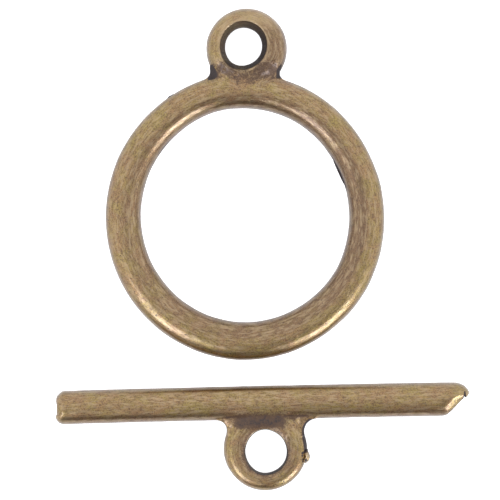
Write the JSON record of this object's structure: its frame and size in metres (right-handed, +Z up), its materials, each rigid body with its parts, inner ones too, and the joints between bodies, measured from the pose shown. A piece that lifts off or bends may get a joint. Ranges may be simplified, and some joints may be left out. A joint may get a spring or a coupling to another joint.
{
  "type": "toggle clasp",
  "caption": "Two-part jewellery toggle clasp: a round cast ring with a chain eye, and a straight bar with its own eye that passes through the ring and lies across it.",
  "frame": {"origin": "middle of the pair on the surface that both halves lie on", "axes": "+X along the bar towards its slanting end, +Y from the bar towards the ring's eye, +Z up off the surface"},
  "size_m": [0.0238, 0.0276, 0.002],
  "materials": {
    "antique_bronze": "antique bronze plating with dark recesses, brushed on the high parts"
  },
  "bodies": {
    "root": {"toggle_ring": "antique_bronze", "toggle_bar": "antique_bronze"}
  },
  "joints": []
}
